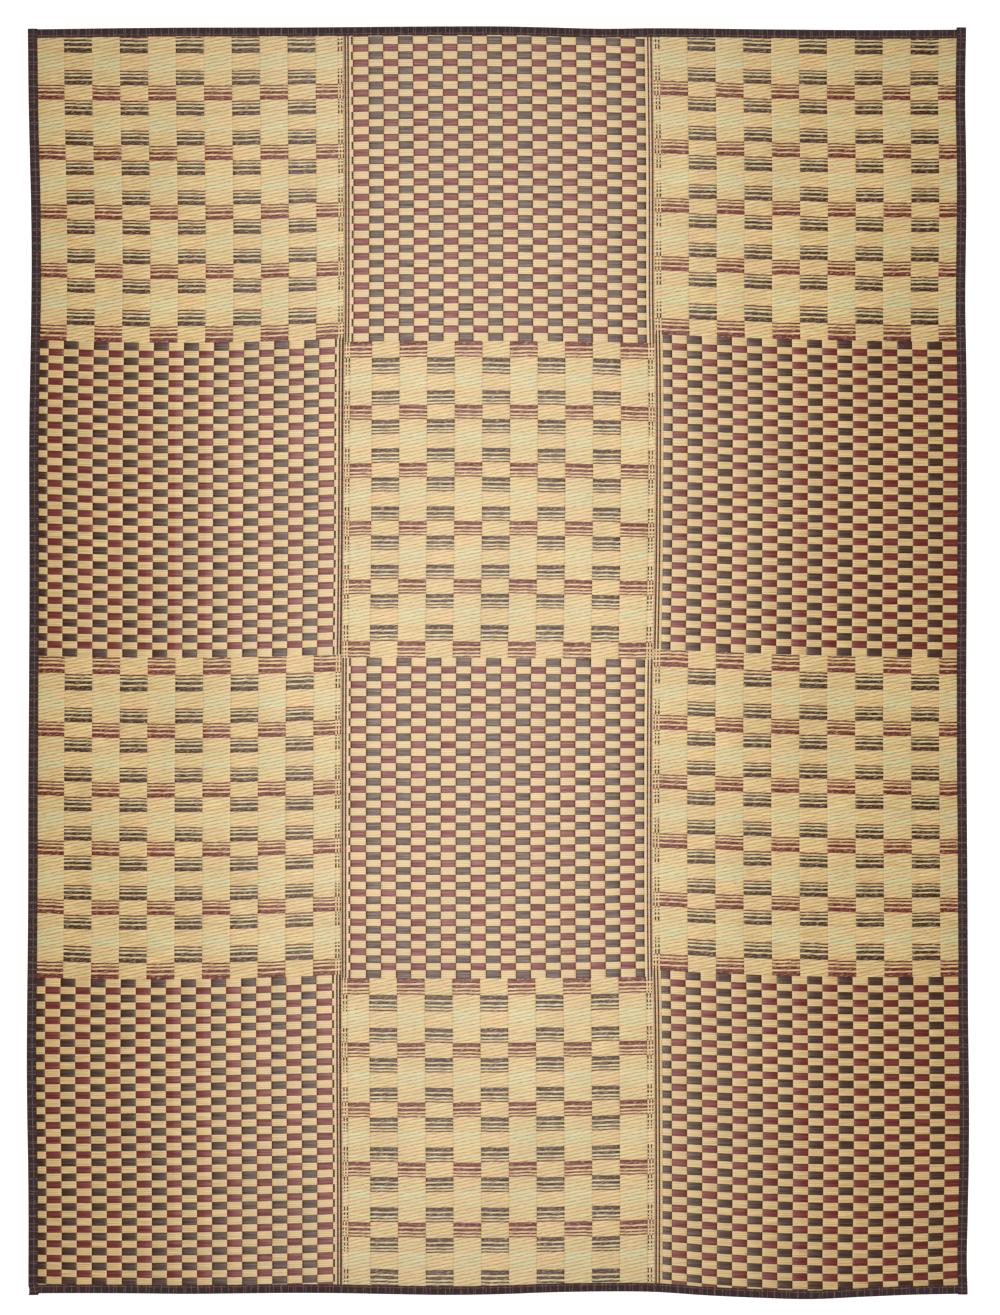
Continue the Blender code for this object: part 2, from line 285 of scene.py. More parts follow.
def layWeave(width, lines):
    # x, y, weave number and rise at every line along and across a width. x is the cloth's u
    # carried between the width's two edges. y lies between two block ends, each a parabola
    # through its three stations, and bellies out between them as another parabola.
    blocks, places, rise = weaveRows()
    share = blockShare(places, blocks % 2 == 1)[:, None]
    stations = np.array(width["stations"]) * mm
    ends = np.array(width["blockEnds"]) * mm
    bellies = np.array(width["bellies"]) * mm
    fromEdge, toEdge = (edges[name] for name in width["edges"])
    inward = np.sign(toEdge[1].mean() - fromEdge[1].mean())
    insets = [fit["cutEdgeInset"] if taped else fit["seamGap"] / 2 for taped in width["taped"]]
    along = ((lines - lines[0]) / (lines[-1] - lines[0]))[None, :]

    def placeAcross(y):
        start = smoothLine(fromEdge, y) + inward * insets[0]
        end = smoothLine(toEdge, y) - inward * insets[1]
        return start + (end - start) * along

    # Each of x and y hangs a little on the other, and three rounds settle them
    y = np.zeros((len(blocks), len(lines)))
    for attempt in range(3):
        x = placeAcross(y)
        parts = parabolaParts(x, stations)
        y = (parts * ends[blocks][:, None]).sum(-1) * (1 - share)
        y += (parts * ends[blocks + 1][:, None]).sum(-1) * share
        y += (parts * bellies[blocks][:, None]).sum(-1) * 4 * share * (1 - share)

    # Lines that the cut ends leave, then a few that run from the last one to the cut edge
    headEdge, footEdge = smoothLine(edges["head"], x), smoothLine(edges["foot"], x)
    keep = (np.minimum(headEdge - y, y - footEdge) > weave["keptInset"]).all(1)
    x, y, blocks, places, rise = (part[keep] for part in (x, y, blocks, places, rise))
    number = np.tile((blocks * blockStep + places)[:, None], (1, len(lines)))
    rise = np.tile(rise[:, None], (1, len(lines)))
    steps = np.array(weave["endSteps"])[:, None]
    for end, index, order in ((width["firstEnd"], 0, 1), (width["lastEnd"], -1, -1)):
        outwards = 1 if end == "head" else -1
        cut = smoothLine(edges[end], x[index]) - outwards * fit["cutEdgeInset"]
        moreY = y[index] + (cut - y[index]) * steps
        reach = weave["slopeLines"] * order + min(index, 0)
        slope = (number[reach] - number[index]) / (y[reach] - y[index])
        moreNumber = number[index] + slope * (moreY - y[index])
        moreRise = np.full(moreY.shape, weave["endRise"])
        parts = [(placeAcross(moreY), x), (moreY, y), (moreNumber, number), (moreRise, rise)]
        if order < 0:
            parts = [(old, new[::-1]) for new, old in parts]
        x, y, number, rise = (np.concatenate(pair) for pair in parts)
    return x, y, number, rise


def skinHeights(width, x, y, arch, rise):
    # The top rises by the arch across its column times the rise along it, and both skins are
    # pressed flat under the tapes. They close up a little at a seam and at the cut edge.
    sideInset = np.full(x.shape, 1.0)
    if width["taped"][0]:
        sideInset = x - smoothLine(edges["left"], y)
    if width["taped"][1]:
        sideInset = smoothLine(edges["right"], y) - x
    endInset = np.minimum(smoothLine(edges["head"], x) - y, y - smoothLine(edges["foot"], x))
    sidePress, endPress = press(sideInset, fit["sideTape"]), press(endInset, fit["endTape"])
    pressed = np.maximum(sidePress, endPress)
    top = fit["fieldTop"] - weave["hollow"] + weave["relief"] * (arch * rise)
    top = top * (1 - pressed) + fit["pressedTop"] * pressed
    low = fit["lift"] * (sidePress + endPress)
    atSeam = np.zeros(x.shape[1])
    atSeam[[0, -1]] = np.logical_not(width["taped"])
    top -= weave["seamDip"] * atSeam
    low += weave["seamLift"] * atSeam
    outer = np.minimum(sideInset, endInset) < weave["cutEdge"]
    middle = (top + low) / 2
    top = np.where(outer, middle + weave["crushedHalf"], top)
    return top, np.where(outer, middle - weave["crushedHalf"], low)


def wallFaces(topNumber, lowNumber, lowRows, lowColumns):
    # All four walls between the skins. Each face has two corners of the coarser lower skin and
    # all those of the upper skin above them.
    walls = []
    for upper, lower, lines, way in (
            (topNumber, lowNumber, lowRows, 1), (topNumber.T, lowNumber.T, lowColumns, -1)):
        for side, turn in ((0, way), (-1, -way)):
            for k, (first, last) in enumerate(zip(lines, lines[1:])):
                run = upper[first:last + 1, side].tolist()
                walls.append((lower[k:k + 2, side].tolist() + run[::-1])[::turn])
    return walls


def makeWidth(side, material):
    # A closed thin sheet: an upper skin with a low pillow over each check and column, a flat
    # lower skin with the lines between columns and between zones or rows alone, and walls
    width = clothWidths[side]
    lines, bounds = columnLines(width["across"])
    x, y, number, rise = layWeave(width, lines)
    rows, columns = x.shape
    faceBlock = np.floor(np.minimum(number[:-1, 0], number[1:, 0]) / blockStep).astype(int)
    faceChecked = faceBlock % 2 == 1
    rowChecked = np.concatenate([faceChecked, faceChecked[-1:]])
    stripeEdge = edgeDistance(weave["stripeColumns"], lines)
    checkEdge = edgeDistance(weave["checkColumns"], lines)
    stripeArch = np.interp(np.abs(stripeEdge), weave["pillowSteps"], weave["stripeArch"])
    checkArch = np.interp(np.abs(checkEdge), weave["pillowSteps"], weave["checkArch"])
    arch = np.where(rowChecked[:, None], checkArch, stripeArch)
    top, low = skinHeights(width, x, y, arch, rise)

    local = number[:, 0] % blockStep
    whole = np.flatnonzero(np.abs(local - np.round(local)) < 1e-6)
    endLines = np.arange(len(weave["endSteps"]))
    lowRows = np.unique(np.concatenate([endLines, whole, rows - 1 - endLines]))
    isBound = np.abs(lines[:, None] - bounds[None, :]).min(1) < 1e-6
    lowColumns = np.unique(np.concatenate([[0, columns - 1], np.flatnonzero(isBound)]))
    topNumber = np.arange(rows * columns).reshape(rows, columns)
    lowNumber = topNumber.size + np.arange(lowRows.size * lowColumns.size)
    lowNumber = lowNumber.reshape(lowRows.size, lowColumns.size)
    pick = np.ix_(lowRows, lowColumns)
    points = np.concatenate([
        np.stack([x, y, top], -1).reshape(-1, 3),
        np.stack([x[pick], y[pick], low[pick]], -1).reshape(-1, 3),
    ])
    topFaces = gridFaces(rows, columns).reshape(-1, 4)
    lowFaces = gridFaces(*lowNumber.shape, topNumber.size)[..., ::-1].reshape(-1, 4)
    walls = wallFaces(topNumber, lowNumber, lowRows, lowColumns)
    faces = topFaces.tolist() + lowFaces.tolist() + walls
    piece = addPiece("rush_width_" + side, points, faces, material)

    # The cloth's own measures for the material: metres across and along on "cloth", and on
    # "weavePlace" the mm to the nearest column edge with the place in zones or rows
    v = np.abs(y - y[0].mean())
    u = np.tile(lines * mm, (rows, 1))
    uv = np.concatenate([
        np.stack([u, v], -1).reshape(-1, 2), np.stack([u[pick], v[pick]], -1).reshape(-1, 2)
    ])
    corners = cornerVertices(piece)
    addUvMap(piece, "cloth", uv[corners])

    def placeUv(rowPick, columnPick):
        # A face that ends its block ends at the block's count, not at the next block's 0
        block = faceBlock[rowPick[:-1]][:, None]
        checkedHere = faceChecked[rowPick[:-1]][:, None]
        distance = np.where(checkedHere, checkEdge[columnPick], stripeEdge[columnPick])
        atRow = number[np.ix_(rowPick, columnPick)]
        near = atRow[:-1] - block * blockStep
        far = atRow[1:] - block * blockStep
        count = np.where(checkedHere, weave["rows"], weave["zones"])
        far = np.where(far >= blockStep - 1e-6, count, far)
        a, b = np.s_[:, :-1], np.s_[:, 1:]
        ring = ((a, near), (a, far), (b, far), (b, near))
        return np.stack([np.stack([distance[k], part[k]], -1) for k, part in ring], 2)

    placeTop = placeUv(np.arange(rows), np.arange(columns)).reshape(-1, 2)
    placeLow = placeUv(lowRows, lowColumns)[:, :, ::-1].reshape(-1, 2)
    placeWall = np.full((len(corners) - len(placeTop) - len(placeLow), 2), 0.5)
    addUvMap(piece, "weavePlace", np.concatenate([placeTop, placeLow, placeWall]))

    def columnShows(rowPick, columnPick, turned):
        # For each face: shows red, shows dark, checked. On the turned side the layers swap.
        middles = (lines[columnPick][:-1] + lines[columnPick][1:]) / 2
        stripes = insideColumn(weave["stripeColumns"], middles)
        checks = insideColumn(weave["checkColumns"], middles)
        if turned:
            stripes, checks = stripes[:, ::-1], checks[:, ::-1]
        checkedHere = faceChecked[rowPick[:-1]][:, None, None]
        shows = np.where(checkedHere, checks[None], stripes[None])
        kind = np.broadcast_to(checkedHere, shows.shape[:2] + (1,))
        return np.concatenate([shows, kind], -1).reshape(-1, 3)

    shows = np.concatenate([
        columnShows(np.arange(rows), np.arange(columns), False),
        columnShows(lowRows, lowColumns, True),
        np.zeros((len(walls), 3)),
    ])
    attribute = piece.data.attributes.new("columns", "FLOAT_VECTOR", "FACE")
    attribute.data.foreach_set("vector", shows.astype(np.float32).ravel())
    return piece


# Materials

def linear(hexColour):
    # sRGB hex to linear light
    part = np.array([int(hexColour[k:k + 2], 16) for k in (1, 3, 5)]) / 255
    part = np.where(part <= 0.04045, part / 12.92, ((part + 0.055) / 1.055) ** 2.4)
    return (*part.tolist(), 1.0)


def feed(node, inputs):
    # Values or other nodes' sockets into a node, in order or by socket number or name
    pairs = inputs.items() if isinstance(inputs, dict) else enumerate(inputs)
    for key, value in pairs:
        if isinstance(value, bpy.types.NodeSocket):
            node.id_data.links.new(value, node.inputs[key])
        elif value is not None:
            node.inputs[key].default_value = value


def addNode(tree, kind, inputs=(), output=0, stops=None, **settings):
    # One node, its settings and its inputs. A word after its kind is its operation. Gives back
    # the output that is wanted.
    kind, _, operation = kind.partition(" ")
    node = tree.nodes.new("ShaderNode" + kind)
    if operation:
        node.operation = operation
    for key, value in settings.items():
        setattr(node, key, value)
    if stops:
        ramp = node.color_ramp
        for place, colour in stops[1:-1]:
            ramp.elements.new(place)
        for element, (place, colour) in zip(ramp.elements, stops):
            element.position, element.color = place, colour
    feed(node, inputs)
    return node.outputs[output]


def startMaterial(name):
    # A new material, its shader, and addNode for its own tree
    material = bpy.data.materials.new(name)
    material.use_nodes = True
    tree = material.node_tree
    return material, tree.nodes["Principled BSDF"], functools.partial(addNode, tree)


def layColours(add, colour, layers):
    # Lays each further colour over what is below it, by its own share
    for share, upper in layers:
        colour = add("Mix", {0: share, 6: colour, 7: upper}, 2, data_type="RGBA")
    return colour


def product(add, *factors):
    # The product of values, taken from the first to the last
    return functools.reduce(lambda done, factor: add("Math MULTIPLY", [done, factor]), factors)


def addParts(add, total, *parts):
    # A value plus each further one taken so many times
    for part, times in parts:
        total = add("Math MULTIPLY_ADD", [part, times, total])
    return total


def drawnNoise(add, cloth, scale, detail=2.0):
    # Noise with its own scale across and along the cloth, in waves a metre
    place = add("Mapping", {"Vector": cloth, "Scale": (*scale, 1)})
    return add("TexNoise", {"Vector": place, "Scale": 1.0, "Detail": detail})


# Soft rush stems, dried, part of them dyed, woven in two layers on cotton warps: to the eye a
# dry straw cloth of fine lines across, with a satin band where the light meets the stems.
# A tone is what a full share adds to the brightness, but for the first two.
rushFinish = {
    "straw": "#dec892",
    "strawDeep": "#c9a96e",
    "strawGreen": "#ccc798",
    "strawOrange": "#e6b782",
    "red": "#621d1a",
    "redLight": "#7d3029",
    "dark": "#361b10",
    "darkLight": "#4e2e22",
    "warpAndGrooveShade": "#8c6040",  # warp colour and painted shade in the groove between columns
    "warpAndGrooveShadeDyed": "#452419",
    "grooveDepth": (0.14, 0.18, 0.5),  # its share on stripes, undyed checks and dyed checks
    "fleck": "#d6c09c",  # undyed bits between dyed picks
    "fleckShare": 0.6,
    "roughness": (0.305, 0.385),
    "gloss": (0.37, 0.79),  # specular level of a dull stem and of a shiny one
    "stripedGloss": 0.65,  # share of it that the rougher striped weave keeps
    "endGloss": (0.7, 0.35),  # share of it at a column's edge, undyed and dyed
    "sheenAlong": 0.9,  # stems are shiny along one direction alone
    "redSheen": "#f5dfe0",
    "darkSheen": "#fff5ee",
    "checkTint": "#f5f2eb",  # the checks' tighter weave is a little darker and warmer
    "stemWidth": 4.4,  # mm: real stems are 1.5 mm, drawn in threes so that they show
    "stemWaves": (12, 16),  # a metre along a stem, for its tone and for the fine tone
    # Other noise, in waves a metre across and along the cloth
    "waves": {
        "patches": (4, 4), "wander": (9, 5), "wobble": (50, 60), "bunches": (11, 70),
        "bands": (9, 75), "flecks": (75, 440),
    },
    "fineTone": (0.86, 1.1),  # lowest and highest factor of the brightness, as the next
    "patchTone": (0.95, 1.05),
    "rowStems": 4,  # bunches of stems side by side in each row of checks
    "paintedBunchLightAndShade": (0.08, -0.22),  # painted highlight on a bunch and painted shade between two of them
    "paintedRowEdgeShade": (-0.1, -0.45),  # painted shade at a row's edge, undyed and dyed
    "selvedgeCream": "#efd9bb",
    "selvedgeShare": 0.15,
    "selvedgeDyedTone": -0.2,
    "selvedgeDyedGloss": -0.5,
    "twillBrown": "#8f6b3f",  # shade in the diagonal lines of the striped weave
    "twillDyedTone": -0.4,
    "twillPitch": 10.0,  # mm between these lines
    "twillSlope": 0.21,
    "twillWander": 3.2,  # radians
    "pickWander": (0.16, 0.12),  # zones on stripes, rows on checks
    "bump": 0.5 * mm,
}

# Places of the coloured picks in a zone, and of the greenish picks in a round of four zones
# as (place, strength)
stripePicks = ((0.0, 0.105), (0.2, 0.316), (0.413, 0.61), (0.702, 0.998))
greenPicks = (
    (0.0, 0.0), (1.22, 0.05), (1.34, 0.45), (1.42, 0.4), (1.56, 0.0), (1.93, 0.05), (2.02, 0.4),
    (2.2, 0.58), (2.36, 0.5), (2.52, 0.78), (2.66, 0.62), (2.84, 1.0), (2.95, 0.95), (3.04, 0.4),
    (3.12, 0.05), (3.24, 0.1), (3.35, 0.5), (3.43, 0.42), (3.57, 0.03), (4.0, 0.0),
)


def makeRushMaterial():
    # Works from three measures of the cloth: metres across and along it, the place in its zone
    # or row with the mm to the column's edge, and which of the two layers shows
    f = rushFinish
    hue = {name: linear(value) for name, value in f.items() if isinstance(value, str)}
    material, shader, add = startMaterial("dyed_rush_double_weave")
    cloth = add("UVMap", uv_map="cloth")
    place = add("UVMap", uv_map="weavePlace")
    shows = add("Attribute", output=1, attribute_name="columns")
    u, v = (add("SeparateXYZ", [cloth], k) for k in (0, 1))
    edge, row = (add("SeparateXYZ", [place], k) for k in (0, 1))
    showsRed, showsDark, checked = (add("SeparateXYZ", [shows], k) for k in (0, 1, 2))
    striped = add("Math SUBTRACT", [1.0, checked])

    # The twill lines of the striped weave rise to the right, and what follows them is drawn on
    # a slanted copy of the cloth's measures
    slantV = addParts(add, v, (u, f["twillSlope"]))
    slanted = add("CombineXYZ", [u, slantV, 0.0])

    stemScale, waves = 1000 / f["stemWidth"], f["waves"]
    stems = drawnNoise(add, cloth, (f["stemWaves"][0], stemScale))
    fine = drawnNoise(add, cloth, (f["stemWaves"][1], stemScale * 2))
    patches = drawnNoise(add, cloth, waves["patches"], 3.0)
    wander = drawnNoise(add, cloth, waves["wander"])
    wobble = drawnNoise(add, cloth, waves["wobble"])
    bunches = drawnNoise(add, cloth, waves["bunches"])
    bands = drawnNoise(add, slanted, waves["bands"])
    flecks = drawnNoise(add, slanted, waves["flecks"])
    wander, wobble = (add("Math SUBTRACT", [noise, 0.5]) for noise in (wander, wobble))

    # Picks wander a little along the cloth, as each is thicker or thinner than the next
    reach = add("MapRange", [checked, 0.0, 1.0, *f["pickWander"]])
    placed = addParts(add, row, (wander, reach), (wobble, 0.05), (striped, -0.012))
    placed = add("Math MAXIMUM", [placed, 0.0])
    lastPlaces = [weave[count] - 0.015 for count in ("zones", "rows")]
    placed = add("Math MINIMUM", [placed, add("MapRange", [checked, 0.0, 1.0, *lastPlaces])])
    index = add("Math FLOOR", [placed])
    within = add("Math FRACT", [placed])
    odd = add("Math MODULO", [index, 2.0])
    even = add("Math SUBTRACT", [1.0, odd])
    redZone = add("Math LESS_THAN", [add("Math MODULO", [index, 4.0]), 0.5])

    # On stripes every fourth zone has red picks and every second one dark picks, and on checks
    # the rows are dark and red in turn
    white, black = (1, 1, 1, 1), (0, 0, 0, 1)
    stops = []
    for start, end in stripePicks:
        stops += [(start, black), (start + 0.01, white), (end - 0.01, white), (end, black)]
    stripe = add("ValToRGB", [within], stops=stops)
    redDye = add("Mix", [checked, None, product(add, redZone, stripe), odd])
    darkDye = add("Mix", [checked, None, product(add, odd, stripe), even])
    redSeen = product(add, showsRed, redDye)
    darkSeen = product(add, showsDark, darkDye)
    dyed = add("Math MAXIMUM", [redSeen, darkSeen])

    # Undyed rush, with greener picks and with slanting bands of warmer and greener stems
    stemTone = add("MapRange", [stems, 0.36, 0.64, 0.0, 1.0])
    selvedge = add("Math LESS_THAN", [edge, -0.2])
    creamSeen = product(add, selvedge, f["selvedgeShare"])
    roundOfFour = add("Math DIVIDE", [add("Math MODULO", [placed, 4.0]), 4.0])
    stops = [(where / 4, (amount, amount, amount, 1)) for where, amount in greenPicks]
    green = add("ValToRGB", [roundOfFour], stops=stops)
    greenSeen = addParts(add, showsRed, (product(add, showsDark, odd), 2.0))
    greenBand = add("MapRange", [bands, 0.35, 0.6, 1.3, 0.85])
    looseGreen = add("MapRange", [bands, 0.3, 0.42, 0.25, 0.0])
    green = add("Math MAXIMUM", [product(add, green, greenSeen, greenBand), looseGreen])
    warmBand = add("MapRange", [bands, 0.52, 0.7, 0.0, 0.6])
    warmBunch = add("MapRange", [bunches, 0.5, 0.68, 0.0, 0.55])
    natural = layColours(add, hue["straw"], [
        (stemTone, hue["strawDeep"]),
        (creamSeen, hue["selvedgeCream"]),
        (product(add, green, striped), hue["strawGreen"]),
        (add("Mix", [checked, None, warmBand, warmBunch]), hue["strawOrange"]),
    ])
    natural = add("Mix", {0: checked, 6: natural, 7: hue["checkTint"]}, 2, data_type="RGBA",
                  blend_type="MULTIPLY")

    # Twill lines: a narrow darker line every pitch, paler where the noise says
    phase = product(add, slantV, 2 * np.pi / (f["twillPitch"] * mm))
    phase = addParts(add, phase, (wobble, f["twillWander"]))
    twill = add("MapRange", [add("Math SINE", [phase]), 0.3, 1.0, 0.0, 1.0])
    twill = product(add, twill, striped)
    twillShare = add("MapRange", [flecks, 0.35, 0.6, 1.0, 0.4])
    twillSeen = product(add, twillShare, twill)

    # Dyed rush. The first pick of a dark zone is red, and pale flecks follow the twill.
    dyedTone = add("MapRange", [stems, 0.35, 0.7, 0.0, 1.0])
    firstPick = add("MapRange", [within, 0.1, 0.2, 1.0, 0.0])
    red = layColours(add, hue["red"], [(dyedTone, hue["redLight"])])
    dark = layColours(add, hue["dark"], [
        (dyedTone, hue["darkLight"]), (product(add, firstPick, striped), hue["red"])])
    fleck = add("MapRange", [flecks, 0.55, 0.67, 0.0, f["fleckShare"]])

    # Stems bend down between the warps, so a column's edge is a fine groove, coloured with the brown
    # warps and painted shade
    onStripes, onUndyed, onDyed = f["grooveDepth"]
    grooveDepth = addParts(add, onUndyed, (dyed, onDyed - onUndyed))
    grooveDepth = add("Mix", [checked, None, onStripes, grooveDepth])
    edgeGap = add("Math ABSOLUTE", [edge])
    groove = add("MapRange", [edgeGap, 0.4, 2.6, 1.0, 0.0])
    groove = product(add, groove, grooveDepth)
    warpAndGrooveShadeColour = layColours(add, hue["warpAndGrooveShade"], [(dyed, hue["warpAndGrooveShadeDyed"])])
    colour = layColours(add, natural, [
        (twillSeen, hue["twillBrown"]),
        (redSeen, red),
        (darkSeen, dark),
        (product(add, fleck, dyed, striped), hue["fleck"]),
        (groove, warpAndGrooveShadeColour),
    ])

    # Each check is a low roll of stems, with painted shade where it dips beside the next one
    rowEdge = add("Math ABSOLUTE", [add("Math SUBTRACT", [within, 0.5])])
    rowEdge = product(add, add("MapRange", [rowEdge, 0.34, 0.5, 0.0, 1.0]), checked)
    paintedRowEdgeShade = add("MapRange", [dyed, 0.0, 1.0, *f["paintedRowEdgeShade"]])
    paintedRowEdgeShade = addParts(add, 1.0, (rowEdge, paintedRowEdgeShade))
    # Within a roll the bunches of stems lie side by side, each with a painted highlight and a fine
    # line of painted shade between them
    bunch = product(add, within, 2 * np.pi * f["rowStems"])
    bunch = add("Math COSINE", [addParts(add, bunch, (wobble, 1.6))])
    bunch = add("MapRange", [bunch, -0.2, 1.0, *f["paintedBunchLightAndShade"]])
    # The rows' painted shade and the bunches' painted light and shade scale both the colour and the
    # gloss
    rowShade = product(add, paintedRowEdgeShade, addParts(add, 1.0, (bunch, checked)))

    selvedgeDyed = product(add, selvedge, dyed)
    # The colour's brightness: random patches and fine tone, darker twill and selvedge on dyed rush,
    # and the rows' painted light and shade
    shade = product(
        add,
        add("MapRange", [patches, 0.3, 0.7, *f["patchTone"]]),
        addParts(add, 1.0, (product(add, twill, dyed), f["twillDyedTone"])),
        addParts(add, 1.0, (selvedgeDyed, f["selvedgeDyedTone"])),
        add("MapRange", [fine, 0.3, 0.7, *f["fineTone"]]),
        rowShade,
    )
    endGloss = add("MapRange", [dyed, 0.0, 1.0, *f["endGloss"]])
    gloss = product(
        add,
        add("MapRange", [stems, 0.35, 0.65, *f["gloss"]]),
        add("MapRange", [checked, 0.0, 1.0, f["stripedGloss"], 1.0]),
        rowShade,
        add("MapRange", [edgeGap, 0.5, 3.5, endGloss, 1.0]),
        addParts(add, 1.0, (selvedgeDyed, f["selvedgeDyedGloss"])),
    )

    rounded = add("Math POWER", [add("MapRange", [edge, 0.0, 21.0, 0.0, 0.9]), 0.6])
    height = addParts(
        add, fine, (stems, 0.6), (twill, -0.5), (groove, -0.6), (rounded, checked))
    feed(shader, {
        "Base Color": add("VectorMath SCALE", {0: colour, "Scale": shade}),
        "Roughness": add("MapRange", [fine, 0.3, 0.7, *f["roughness"]]),
        "Specular IOR Level": gloss,
        "Specular Tint": layColours(
            add, white, [(redSeen, hue["redSheen"]), (darkSeen, hue["darkSheen"])]),
        "Anisotropic": f["sheenAlong"],
        "Anisotropic Rotation": 0.25,
        "Tangent": add("Tangent", direction_type="UV_MAP", uv_map="cloth"),
        "Normal": add("Bump", {"Height": height, "Strength": 0.35, "Distance": f["bump"]}),
    })
    return material


# Plain-woven cotton tape, dyed dark, with a paler yarn thrown in now and then both ways:
# to the eye a matt brown-black cloth with a faint uneven grid
tapeFinish = {
    "ground": "#2a191a",
    "groundPale": "#382425",
    "yarn": "#92726a",
    "yarnShare": (0.15, 0.75),  # where the paler yarn dives and where it lies on top
    "roughness": 0.85,
    "sheen": 0.05,
    "yarnWidth": 0.9,  # mm: the real yarn is 0.5 mm, drawn wider so that it shows
    "crossPitch": (10.4, 16.7),  # mm: two pitches overlaid make the uneven spacing
    "alongPitch": 11.5,
    "weavePitch": 1.6,  # mm between two yarns of the ground, drawn wider too
    "bump": 0.25 * mm,
}


def makeTapeMaterial():
    # A yarn lies where the distance to the nearest multiple of its pitch is small, and the
    # ground is the product of two sine waves, one along and one across
    f = tapeFinish
    material, shader, add = startMaterial("woven_cotton_tape")
    cloth = add("UVMap", uv_map="cloth")
    u, v = (add("SeparateXYZ", [cloth], k) for k in (0, 1))
    wobble = add("TexNoise", {"Vector": cloth, "Scale": 45.0, "Detail": 2.0})
    wobble = add("Math SUBTRACT", [wobble, 0.5])
    yarns = []
    lays = [(u, f["crossPitch"][0]), (u, f["crossPitch"][1]), (v, f["alongPitch"])]
    for across, pitch in lays:
        laid = addParts(add, product(add, across, 1000 / pitch), (wobble, 0.35))
        laid = add("Math PINGPONG", [laid, 1.0])
        half = f["yarnWidth"] / pitch
        yarns.append(add("MapRange", [laid, half * 0.5, half * 1.3, 1.0, 0.0]))
    yarn = add("Math MAXIMUM", [add("Math MAXIMUM", yarns[:2]), yarns[2]])
    broken = add("TexNoise", {"Vector": cloth, "Scale": 160.0, "Detail": 2.0})
    yarn = product(add, yarn, add("MapRange", [broken, 0.35, 0.65, *f["yarnShare"]]))
    waves = 2 * np.pi / (f["weavePitch"] * mm)
    ground = [add("Math SINE", [product(add, way, waves)]) for way in (u, v)]
    height = addParts(add, product(add, *ground), (yarn, 0.8))
    feed(shader, {
        "Base Color": layColours(add, linear(f["ground"]), [
            (broken, linear(f["groundPale"])), (yarn, linear(f["yarn"]))]),
        "Roughness": f["roughness"],
        "Sheen Weight": f["sheen"],
        "Sheen Roughness": 0.5,
        "Normal": add("Bump", {"Height": height, "Strength": 0.5, "Distance": f["bump"]}),
    })
    return material


# Spun cotton sewing thread: matt, with a fine twist and painted shade between the plies
threadFinish = {
    "dark": "#453638",
    "straw": "#b89a66",
    "plyShade": 0.55,
    "twist": 260.0,  # waves a metre
    "roughness": 0.75,
}


def makeThreadMaterial(dye):
    # Slanting bands, lower between two plies, with painted shade there
    f = threadFinish
    material, shader, add = startMaterial(dye + "_cotton_thread")
    place = add("TexCoord", output=3)  # Object
    twist = add("TexWave", {"Vector": place, "Scale": f["twist"], "Distortion": 1.5}, 1,
                bands_direction="DIAGONAL")
    colour = linear(f[dye])
    # Painted shade between the plies
    darker = (*(part * f["plyShade"] for part in colour[:3]), 1.0)
    feed(shader, {
        "Base Color": layColours(add, darker, [(twist, colour)]),
        "Roughness": f["roughness"],
        "Normal": add("Bump", {"Height": twist, "Strength": 0.4, "Distance": 0.1 * mm}),
    })
    return material


# Folded tapes

onSide = {"along": 1, "width": fit["sideTape"], "length": 3.53}
onEnd = {"along": 0, "width": fit["endTape"], "length": 2.61}
tapes = {
    "left": {**onSide, "outwards": -1},
    "right": {**onSide, "outwards": 1},
    "head": {**onEnd, "outwards": 1},
    "foot": {**onEnd, "outwards": -1},
}
tapeShape = {
    "station": 5 * mm,  # between cross-sections
    "legSteps": 5,
    "foldSteps": 10,
    "edgeWander": 0.45 * mm,  # how far the inner edge strays from straight
    "wanders": ((0.5, 0.31, 0), (0.3, 0.083, 1), (0.2, 0.037, 0)),  # share, period, phase
    "pucker": 0.12 * mm,  # dimples that the sewing pulls
    "puckerPitch": 24.5 * mm,
    "puckerReach": 2.2 * mm,
    "rawEdgeDrop": 0.1 * mm,
    "sewingInset": 3.0 * mm,  # from the inner edge
    "sewingStart": 8 * mm,  # from the tape's end
    "stitch": 3.3 * mm,
    "stitchPitch": 4.9 * mm,
    "threadRadius": 0.4 * mm,
    "sink": 0.3 * mm,
}


def wave(at, period, phase):
    # A sine of 1 to each side that repeats every period
    return np.sin(2 * np.pi * at / period + phase)


def tapeRun(side):
    # Where a tape runs: its stations, and its lowest and highest z at each. The end tapes go
    # up and over the side tapes' lower leg, and the side tapes go up over the end tapes.
    tape = tapes[side]
    line = edges[side]
    start, end = line[0][0], line[0][-1]
    at = np.linspace(start, end, int((end - start) / tapeShape["station"]) + 1)
    crossed = ("foot", "head") if tape["along"] == 1 else ("left", "right")
    near, far = (smoothLine(edges[name], line[1].mean()) for name in crossed)
    raised = fit["lift"] * press(np.minimum(at - near, far - at), tapes[crossed[0]]["width"])
    if tape["along"] == 1:
        return at, np.zeros_like(at), fit["tapeTop"] + raised
    return at, raised, np.full_like(at, fit["tapeTop"])


def tapePoint(side, at, inset, z):
    # A point at a distance in from the tape's outer edge
    tape = tapes[side]
    across = smoothLine(edges[side], at) - tape["outwards"] * inset
    first, second = (across, at) if tape["along"] == 1 else (at, across)
    return np.stack(np.broadcast_arrays(first, second, z), -1)


def tapeWidthAt(side, at):
    # The tape's width plus three waves whose phases differ from tape to tape
    seed = 1.7 * list(tapes).index(side)
    wander = sum(share * wave(at, period, times * seed + phase)
                 for times, (share, period, phase) in enumerate(tapeShape["wanders"], 1))
    return tapes[side]["width"] + tapeShape["edgeWander"] * wander


def upperDip(at, side):
    # How much the sewing pulls the tape down near a stitch: a wave from 0 to the pucker
    dip = 0.5 + 0.5 * wave(at, tapeShape["puckerPitch"], list(tapes).index(side))
    return tapeShape["pucker"] * dip


